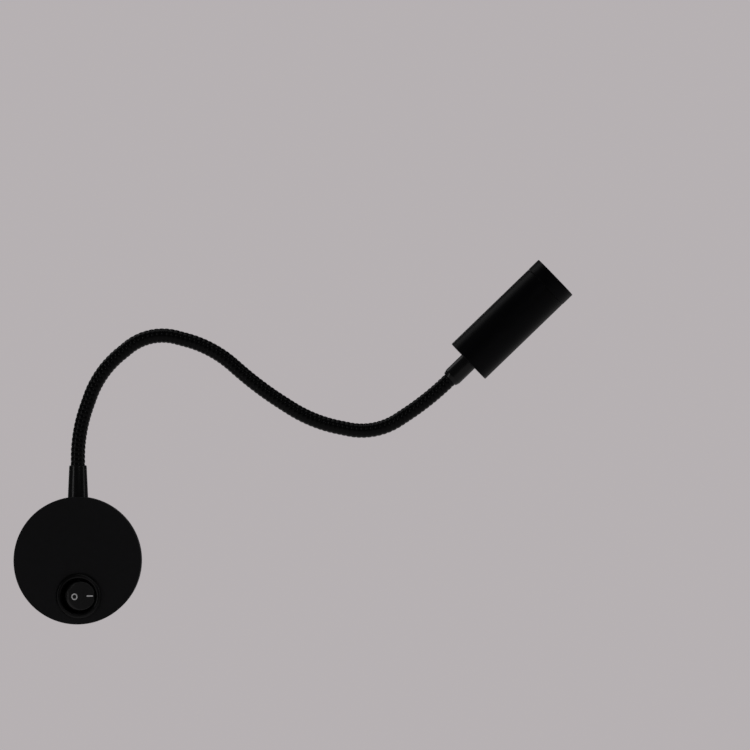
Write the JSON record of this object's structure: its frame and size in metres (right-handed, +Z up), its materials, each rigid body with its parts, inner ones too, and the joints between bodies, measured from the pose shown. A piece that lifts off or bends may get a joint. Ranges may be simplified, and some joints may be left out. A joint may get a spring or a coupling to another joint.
{
  "type": "bedside wall reading lamp",
  "caption": "Wall reading lamp: round canopy with a rocker switch, ribbed flexible neck and a slim cylindrical spot head.",
  "frame": {"origin": "centre of the canopy circle on the wall plane, which is the middle of the two wall slots", "axes": "+X right, +Z up, +Y into the wall; the lamp stands out of the wall towards -Y"},
  "size_m": [0.3069, 0.0323, 0.2001],
  "materials": {
    "canopy_black": "matte",
    "head_black": "satin",
    "hose_black": "gloss",
    "ferrule_black": "gloss",
    "switch_black": "satin",
    "zinc_steel": "satin",
    "screw_steel": "satin",
    "contact_brass": "satin",
    "grommet_rubber": "matte",
    "plunger_white": "matte",
    "driver_white": "matte",
    "board_green": "satin",
    "terminal_white": "satin",
    "wire_brown": "satin",
    "wire_blue": "satin",
    "wire_green_yellow": "satin",
    "lead_red": "satin",
    "lead_black": "satin",
    "sink_aluminium": "satin",
    "board_white": "matte",
    "emitter_yellow": "matte",
    "holder_black": "matte",
    "lens_clear": "clear"
  },
  "bodies": {
    "base": {"canopy": "canopy_black", "neck_link_1": "hose_black", "base_ferrule": "ferrule_black", "switch_housing": "switch_black", "wall_bracket": "zinc_steel", "hose_nut": "zinc_steel", "hose_saddle_washer": "zinc_steel", "bracket_side_screws": "screw_steel", "terminal_screws": "screw_steel", "earth_screw": "screw_steel", "switch_line_terminal": "contact_brass", "switch_load_terminal": "contact_brass", "earth_tag": "contact_brass", "cable_grommet": "grommet_rubber", "driver_case": "driver_white", "driver_lid": "driver_white", "driver_board": "board_green", "terminal_block": "terminal_white", "live_wire": "wire_brown", "switched_wire": "wire_brown", "neutral_wire": "wire_blue", "earth_wire": "wire_green_yellow", "lead_red": "lead_red", "lead_black": "lead_black"},
    "rocker": {"rocker": "switch_black", "rocker_plunger": "plunger_white", "plunger_spring": "screw_steel"},
    "seesaw": {"seesaw_contact": "contact_brass"},
    "link_2": {"neck_link_2": "hose_black"},
    "link_3": {"neck_link_3": "hose_black"},
    "link_4": {"neck_link_4": "hose_black"},
    "link_5": {"neck_link_5": "hose_black"},
    "link_6": {"neck_link_6": "hose_black"},
    "link_7": {"neck_link_7": "hose_black"},
    "head": {"neck_link_8": "hose_black", "head_ferrule": "ferrule_black", "head_lock_washer": "zinc_steel", "head_lock_nut": "zinc_steel", "head_tube": "head_black", "heat_sink": "sink_aluminium", "led_board": "board_white", "led_emitter": "emitter_yellow", "board_screws": "screw_steel", "lens_holder": "holder_black", "lens": "lens_clear", "front_ring": "head_black"}
  },
  "joints": [
    {"name": "neck_flex_1", "type": "hinge", "parent": "base", "child": "link_2", "pos_m": [0.00536, -0.014, 0.08612], "axis": [0, 1, 0], "range_deg": [-30, 30], "deforming": ["lead_red", "lead_black"]},
    {"name": "neck_flex_2", "type": "hinge", "parent": "link_2", "child": "link_3", "pos_m": [0.02421, -0.014, 0.1142], "axis": [0.6361, 0, -0.7716], "range_deg": [0, 30], "deforming": ["lead_red", "lead_black"]},
    {"name": "neck_flex_3", "type": "hinge", "parent": "link_3", "child": "link_4", "pos_m": [0.0559, -0.014, 0.12225], "axis": [0, 1, 0], "range_deg": [-30, 30], "deforming": ["lead_red", "lead_black"]},
    {"name": "neck_flex_4", "type": "hinge", "parent": "link_4", "child": "link_5", "pos_m": [0.08616, -0.014, 0.1068], "axis": [-0.6561, 0, -0.7547], "range_deg": [-30, 30], "deforming": ["lead_red", "lead_black"]},
    {"name": "neck_flex_5", "type": "hinge", "parent": "link_5", "child": "link_6", "pos_m": [0.11354, -0.014, 0.08611], "axis": [0, 1, 0], "range_deg": [-30, 30], "deforming": ["lead_red", "lead_black"]},
    {"name": "neck_flex_6", "type": "hinge", "parent": "link_6", "child": "link_7", "pos_m": [0.145, -0.014, 0.07292], "axis": [-0.1994, 0, -0.9799], "range_deg": [-30, 30], "deforming": ["lead_red", "lead_black"]},
    {"name": "neck_flex_7", "type": "hinge", "parent": "link_7", "child": "head", "pos_m": [0.17777, -0.014, 0.07831], "axis": [0, 1, 0], "range_deg": [-30, 30], "deforming": ["lead_red", "lead_black"]},
    {"name": "rocker_press", "type": "hinge", "parent": "base", "child": "rocker", "pos_m": [0.0008, -0.024, -0.0193], "axis": [0, 0, -1], "range_deg": [0, 24]},
    {"name": "seesaw_tilt", "type": "hinge", "parent": "base", "child": "seesaw", "pos_m": [0.0008, -0.0167, -0.0193], "axis": [0, 0, -1], "range_deg": [-16, 0]}
  ],
  "couplings": [
    {"joint": "seesaw_tilt", "follows": "rocker_press", "ratio": -0.66667}
  ]
}
